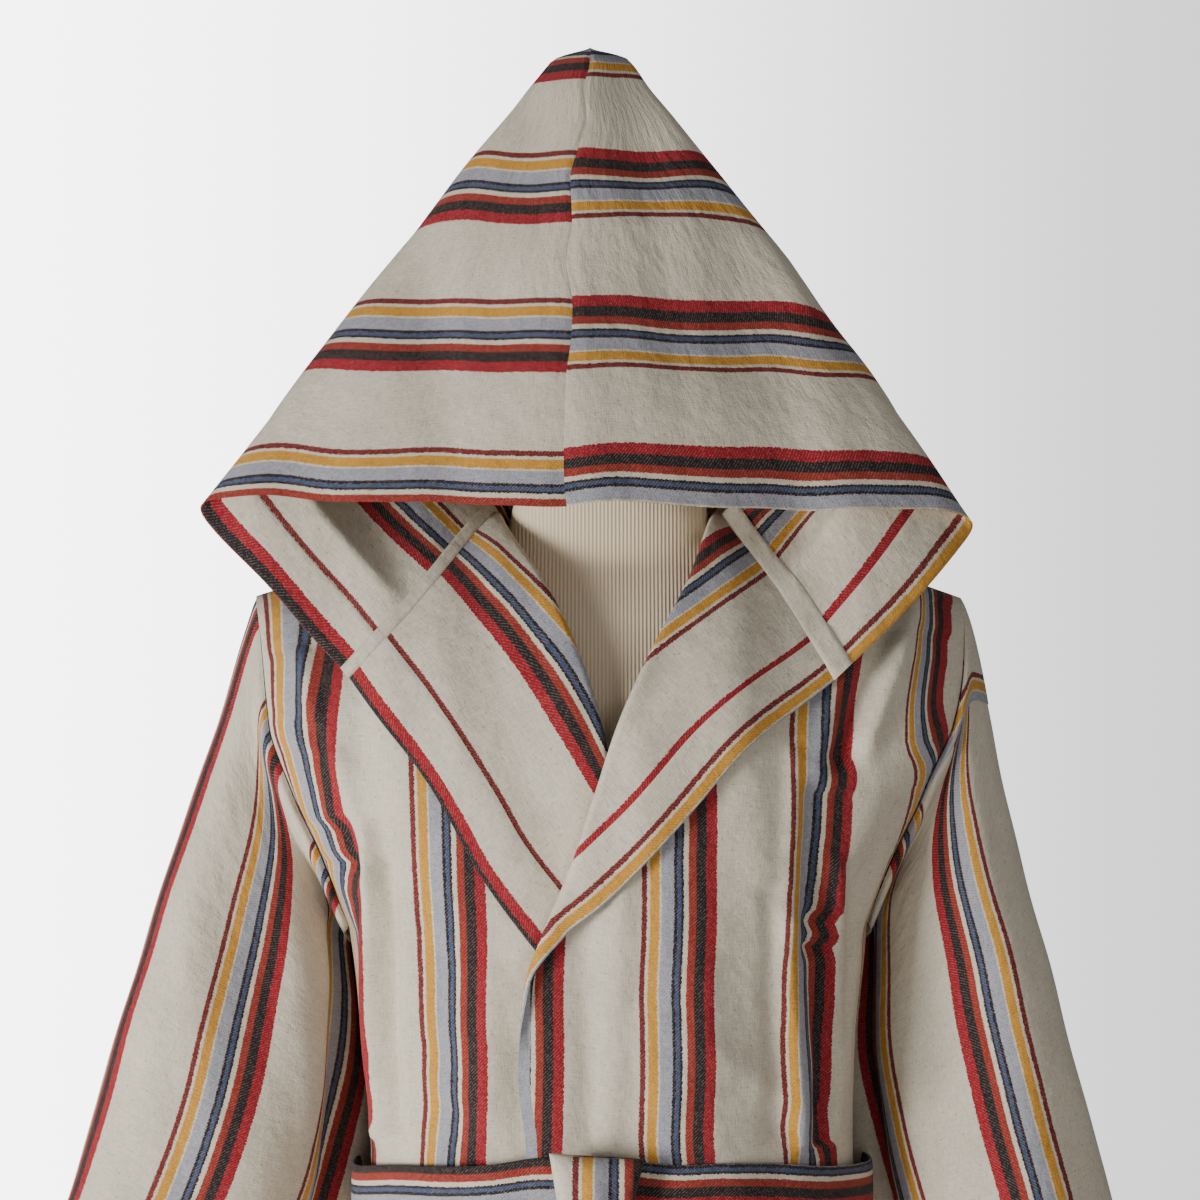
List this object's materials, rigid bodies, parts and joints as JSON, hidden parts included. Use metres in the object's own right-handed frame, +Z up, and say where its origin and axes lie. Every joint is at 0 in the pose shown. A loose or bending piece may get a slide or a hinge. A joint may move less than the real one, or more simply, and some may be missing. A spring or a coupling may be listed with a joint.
{
  "type": "hooded bathrobe on a dress form",
  "caption": "Hooded wrap bathrobe of striped woven cotton with a tied belt, worn by a limbless dress form on a pole and round base.",
  "frame": {"origin": "middle of the underside of the round base, on the floor", "axes": "+Z up, the robe's front faces -Y, +X to the right as seen from the front"},
  "size_m": [0.811, 0.4268, 1.857],
  "materials": {
    "striped_cotton": "woven cotton, ecru with lengthwise stripes, matt with a slight nap",
    "belt_cotton": "the same woven cotton, sewn double",
    "ribbed_jersey": "beige jersey with fine upright ribs",
    "turned_wood": "oiled",
    "dark_steel": "satin dark lacquer"
  },
  "bodies": {
    "root": {"front_right": "striped_cotton", "front_left": "striped_cotton", "back": "striped_cotton", "sleeve_right": "striped_cotton", "sleeve_left": "striped_cotton", "hood_right": "striped_cotton", "hood_left": "striped_cotton", "belt_band": "belt_cotton", "belt_knot": "belt_cotton", "belt_tail_right": "belt_cotton", "belt_tail_left": "belt_cotton", "form_torso": "ribbed_jersey", "form_neck_cap": "turned_wood", "hood_post": "dark_steel", "form_pole": "dark_steel", "form_base": "turned_wood"}
  },
  "joints": []
}
